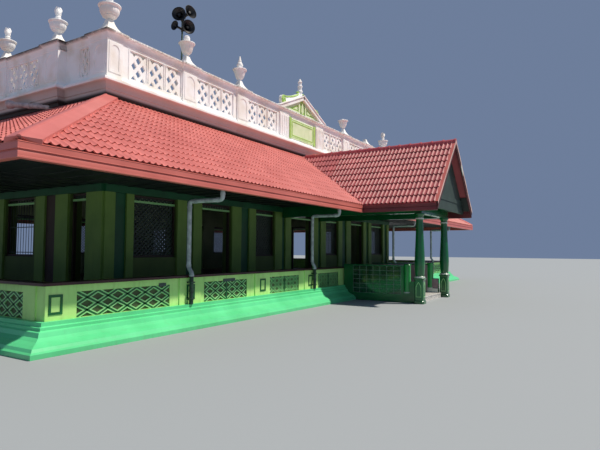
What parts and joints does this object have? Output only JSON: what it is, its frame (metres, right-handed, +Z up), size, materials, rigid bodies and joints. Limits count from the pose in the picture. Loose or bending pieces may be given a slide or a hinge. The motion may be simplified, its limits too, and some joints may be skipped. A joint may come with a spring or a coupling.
{
  "type": "mosque building",
  "caption": "Single-storey prayer hall on a raised base with a tiled veranda roof all round, a gabled entrance porch and a white pierced parapet with urns.",
  "frame": {"origin": "centre of the object's bounding box, on the ground", "axes": "+X along the long front, to the right as seen from the entrance side; +Y from the entrance side into the building; +Z up"},
  "size_m": [27.82, 21.45, 9.645],
  "materials": {
    "plinth_paint": "mint green gloss paint on moulded cement plaster",
    "low_wall_paint": "yellow-green paint on smooth plaster",
    "coping_slab": "dark maroon polished oxide",
    "hall_wall_paint": "light green matt paint on plaster",
    "roof_concrete": "weathered cement screed",
    "ceiling_board": "dark painted boards",
    "roof_tile": "salmon red coated tile sheet",
    "eaves_sheet": "smooth salmon coated sheet",
    "porch_tile": "glossy red coated tile sheet",
    "gable_paint": "grey-green matt paint",
    "column_enamel": "dark green gloss enamel on plaster",
    "glazed_tile": "dark green glazed tiles with light joints",
    "step_stone": "pale grey terrazzo",
    "white_plaster": "weathered lime-washed plaster",
    "pipe_plastic": "pale grey plastic pipe",
    "horn_paint": "satin black"
  },
  "bodies": {
    "root": {"raised_base": "plinth_paint", "low_wall_front_left": "low_wall_paint", "low_wall_front_right": "low_wall_paint", "low_wall_back": "low_wall_paint", "low_wall_left": "low_wall_paint", "low_wall_right": "low_wall_paint", "coping_front_left": "coping_slab", "coping_front_right": "coping_slab", "coping_back": "coping_slab", "coping_left": "coping_slab", "coping_right": "coping_slab", "hall_wall_front": "hall_wall_paint", "hall_wall_back": "hall_wall_paint", "hall_wall_left": "hall_wall_paint", "hall_wall_right": "hall_wall_paint", "hall_roof": "roof_concrete", "veranda_ceiling_front": "ceiling_board", "veranda_ceiling_back": "ceiling_board", "veranda_ceiling_left": "ceiling_board", "veranda_ceiling_right": "ceiling_board", "veranda_roof_front_left": "roof_tile", "veranda_roof_front_right": "roof_tile", "veranda_roof_back": "roof_tile", "veranda_roof_left": "roof_tile", "veranda_roof_right": "roof_tile", "hip_cap_front_left": "eaves_sheet", "hip_cap_front_right": "eaves_sheet", "hip_cap_back_left": "eaves_sheet", "hip_cap_back_right": "eaves_sheet", "eaves_front_left": "eaves_sheet", "eaves_front_right": "eaves_sheet", "eaves_back": "eaves_sheet", "eaves_left": "eaves_sheet", "eaves_right": "eaves_sheet", "porch_eaves_left": "eaves_sheet", "porch_eaves_right": "eaves_sheet", "porch_roof_left": "porch_tile", "porch_roof_right": "porch_tile", "porch_ridge_cap": "porch_tile", "porch_verge_boards": "eaves_sheet", "porch_gable": "gable_paint", "porch_beams": "column_enamel", "porch_column_left": "column_enamel", "porch_column_right": "column_enamel", "porch_side_wall_left": "glazed_tile", "porch_side_wall_right": "glazed_tile", "entrance_steps": "step_stone", "parapet_front_left": "white_plaster", "parapet_front_right": "white_plaster", "parapet_back": "white_plaster", "parapet_left": "white_plaster", "parapet_right": "white_plaster", "entrance_pediment": "white_plaster", "downpipe_left_1": "pipe_plastic", "downpipe_left_2": "pipe_plastic", "downpipe_right_1": "pipe_plastic", "downpipe_right_2": "pipe_plastic", "loudspeaker_mast": "horn_paint"}
  },
  "joints": []
}
